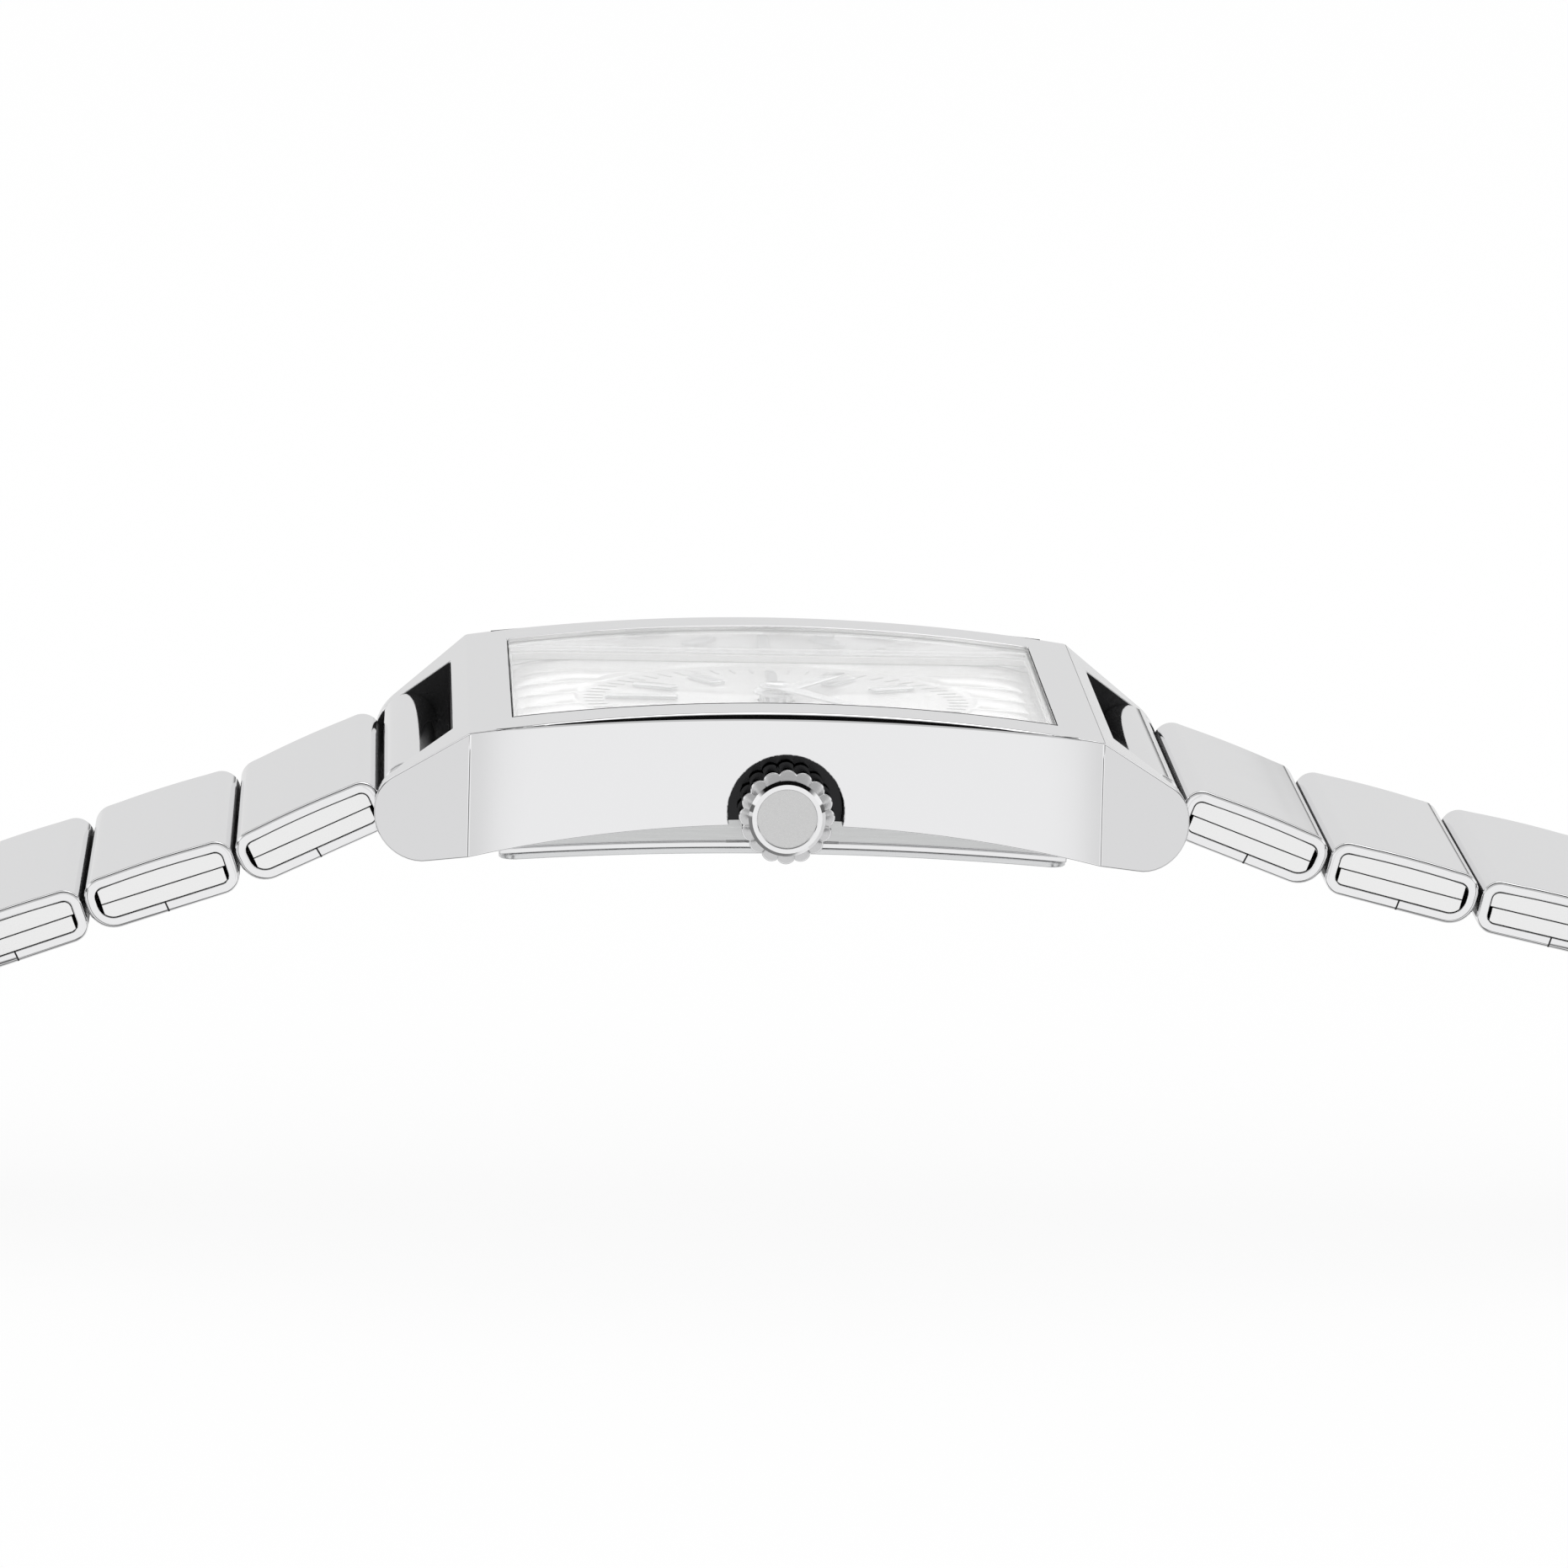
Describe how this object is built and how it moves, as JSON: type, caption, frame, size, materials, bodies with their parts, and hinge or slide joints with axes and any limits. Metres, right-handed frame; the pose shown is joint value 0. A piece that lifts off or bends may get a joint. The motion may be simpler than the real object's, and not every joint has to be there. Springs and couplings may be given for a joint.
{
  "type": "wristwatch",
  "caption": "Rectangular wristwatch with an arched case and flush crystal, on an open folded-link steel bracelet that ends in a hook clasp and its catch.",
  "frame": {"origin": "centre of the flat land on the case back", "axes": "+X to 3 o'clock, where the crown is; +Y along the bracelet to 12 o'clock; +Z out of the dial"},
  "size_m": [0.028, 0.1617, 0.0281],
  "materials": {
    "case_steel": "polished top, bevels and sides",
    "link_steel": "polished rolled sheet",
    "strip_steel": "satin",
    "crystal": "clear",
    "gasket": "matte",
    "dial": "silvery white, satin",
    "applique": "polished",
    "holder": "matte",
    "movement_brass": "satin",
    "movement_steel": "satin",
    "copper": "enamelled winding",
    "board": "lacquered"
  },
  "bodies": {
    "case": {"case_middle": "case_steel", "crystal": "crystal", "crystal_gasket": "gasket", "dial": "dial", "hour_markers": "applique", "movement_holder": "holder", "main_plate": "movement_brass", "bridge_plate": "movement_steel", "battery": "movement_steel", "coil": "copper", "circuit_board": "board", "case_back": "case_steel", "case_back_gasket": "gasket", "crown_tube": "movement_steel", "spring_bars": "movement_steel"},
    "crown_slide": {"crown_gasket": "gasket"},
    "crown": {"crown": "case_steel", "stem": "movement_steel"},
    "minute_hand": {"minute_hand": "applique", "cannon_pinion": "movement_brass"},
    "hour_hand": {"hour_hand": "applique", "hour_wheel": "movement_brass"},
    "lower_end_link": {"lower_end_link": "link_steel"},
    "upper_end_link": {"upper_end_link": "link_steel"},
    "lower_link_1": {"lower_link_1_shell": "link_steel", "lower_link_1_strip": "strip_steel"},
    "lower_link_2": {"lower_link_2_shell": "link_steel", "lower_link_2_strip": "strip_steel"},
    "lower_link_3": {"lower_link_3_shell": "link_steel", "lower_link_3_strip": "strip_steel"},
    "lower_link_4": {"lower_link_4_shell": "link_steel", "lower_link_4_strip": "strip_steel"},
    "lower_link_5": {"lower_link_5_shell": "link_steel", "lower_link_5_strip": "strip_steel"},
    "lower_link_6": {"lower_link_6_shell": "link_steel", "lower_link_6_strip": "strip_steel"},
    "lower_link_7": {"lower_link_7_shell": "link_steel", "lower_link_7_strip": "strip_steel"},
    "catch": {"catch_link": "link_steel", "catch_bar": "link_steel"},
    "upper_link_1": {"upper_link_1_shell": "link_steel", "upper_link_1_strip": "strip_steel"},
    "upper_link_2": {"upper_link_2_shell": "link_steel", "upper_link_2_strip": "strip_steel"},
    "upper_link_3": {"upper_link_3_shell": "link_steel", "upper_link_3_strip": "strip_steel"},
    "upper_link_4": {"upper_link_4_shell": "link_steel", "upper_link_4_strip": "strip_steel"},
    "upper_link_5": {"upper_link_5_shell": "link_steel", "upper_link_5_strip": "strip_steel"},
    "upper_link_6": {"upper_link_6_shell": "link_steel", "upper_link_6_strip": "strip_steel"},
    "clasp": {"clasp_blade": "strip_steel", "clasp_hinge_pin": "strip_steel"},
    "clasp_cover": {"clasp_cover": "link_steel"}
  },
  "joints": [
    {"name": "crown_pull", "type": "slide", "parent": "case", "child": "crown_slide", "axis": [1, 0, 0], "range_m": [0, 0.0009]},
    {"name": "crown_turn", "type": "hinge", "parent": "crown_slide", "child": "crown", "pos_m": [0.0135, 0, 0.00228], "axis": [1, 0, 0], "continuous": true},
    {"name": "minute_turn", "type": "hinge", "parent": "case", "child": "minute_hand", "pos_m": [0, 0, 0.0045], "axis": [0, 0, -1], "continuous": true},
    {"name": "hour_turn", "type": "hinge", "parent": "case", "child": "hour_hand", "pos_m": [0, 0, 0.004], "axis": [0, 0, -1], "continuous": true},
    {"name": "lower_end_link_turn", "type": "hinge", "parent": "case", "child": "lower_end_link", "pos_m": [0, -0.01835, 0.00233], "axis": [1, 0, 0], "range_deg": [-4, 4]},
    {"name": "lower_link_1_hinge", "type": "hinge", "parent": "case", "child": "lower_link_1", "pos_m": [0, -0.01835, 0.00233], "axis": [1, 0, 0], "range_deg": [0, 30]},
    {"name": "lower_link_2_hinge", "type": "hinge", "parent": "lower_link_1", "child": "lower_link_2", "pos_m": [0, -0.02544, -0.00105], "axis": [1, 0, 0], "range_deg": [0, 30]},
    {"name": "lower_link_3_hinge", "type": "hinge", "parent": "lower_link_2", "child": "lower_link_3", "pos_m": [0, -0.03287, -0.00358], "axis": [1, 0, 0], "range_deg": [0, 30]},
    {"name": "lower_link_4_hinge", "type": "hinge", "parent": "lower_link_3", "child": "lower_link_4", "pos_m": [0, -0.04025, -0.00624], "axis": [1, 0, 0], "range_deg": [0, 30]},
    {"name": "lower_link_5_hinge", "type": "hinge", "parent": "lower_link_4", "child": "lower_link_5", "pos_m": [0, -0.04761, -0.00896], "axis": [1, 0, 0], "range_deg": [0, 30]},
    {"name": "lower_link_6_hinge", "type": "hinge", "parent": "lower_link_5", "child": "lower_link_6", "pos_m": [0, -0.05494, -0.01178], "axis": [1, 0, 0], "range_deg": [0, 30]},
    {"name": "lower_link_7_hinge", "type": "hinge", "parent": "lower_link_6", "child": "lower_link_7", "pos_m": [0, -0.06223, -0.01469], "axis": [1, 0, 0], "range_deg": [0, 30]},
    {"name": "catch_hinge", "type": "hinge", "parent": "lower_link_7", "child": "catch", "pos_m": [0, -0.06948, -0.01771], "axis": [1, 0, 0], "range_deg": [0, 30]},
    {"name": "upper_end_link_turn", "type": "hinge", "parent": "case", "child": "upper_end_link", "pos_m": [0, 0.01835, 0.00233], "axis": [1, 0, 0], "range_deg": [-4, 4]},
    {"name": "upper_link_1_hinge", "type": "hinge", "parent": "case", "child": "upper_link_1", "pos_m": [0, 0.01835, 0.00233], "axis": [1, 0, 0], "range_deg": [-30, 0]},
    {"name": "upper_link_2_hinge", "type": "hinge", "parent": "upper_link_1", "child": "upper_link_2", "pos_m": [0, 0.02569, -0.00046], "axis": [1, 0, 0], "range_deg": [-30, 0]},
    {"name": "upper_link_3_hinge", "type": "hinge", "parent": "upper_link_2", "child": "upper_link_3", "pos_m": [0, 0.0333, -0.00237], "axis": [1, 0, 0], "range_deg": [-30, 0]},
    {"name": "upper_link_4_hinge", "type": "hinge", "parent": "upper_link_3", "child": "upper_link_4", "pos_m": [0, 0.04096, -0.00408], "axis": [1, 0, 0], "range_deg": [-30, 0]},
    {"name": "upper_link_5_hinge", "type": "hinge", "parent": "upper_link_4", "child": "upper_link_5", "pos_m": [0, 0.0486, -0.00591], "axis": [1, 0, 0], "range_deg": [-30, 0]},
    {"name": "upper_link_6_hinge", "type": "hinge", "parent": "upper_link_5", "child": "upper_link_6", "pos_m": [0, 0.05618, -0.00795], "axis": [1, 0, 0], "range_deg": [-30, 0]},
    {"name": "clasp_hinge", "type": "hinge", "parent": "upper_link_6", "child": "clasp", "pos_m": [0, 0.06369, -0.01024], "axis": [1, 0, 0], "range_deg": [-30, 0]},
    {"name": "clasp_cover_hinge", "type": "hinge", "parent": "clasp", "child": "clasp_cover", "pos_m": [0, 0.06652, -0.01112], "axis": [1, 0, 0], "range_deg": [0, 90]}
  ],
  "couplings": [
    {"joint": "hour_turn", "follows": "minute_turn", "ratio": 0.083333}
  ]
}
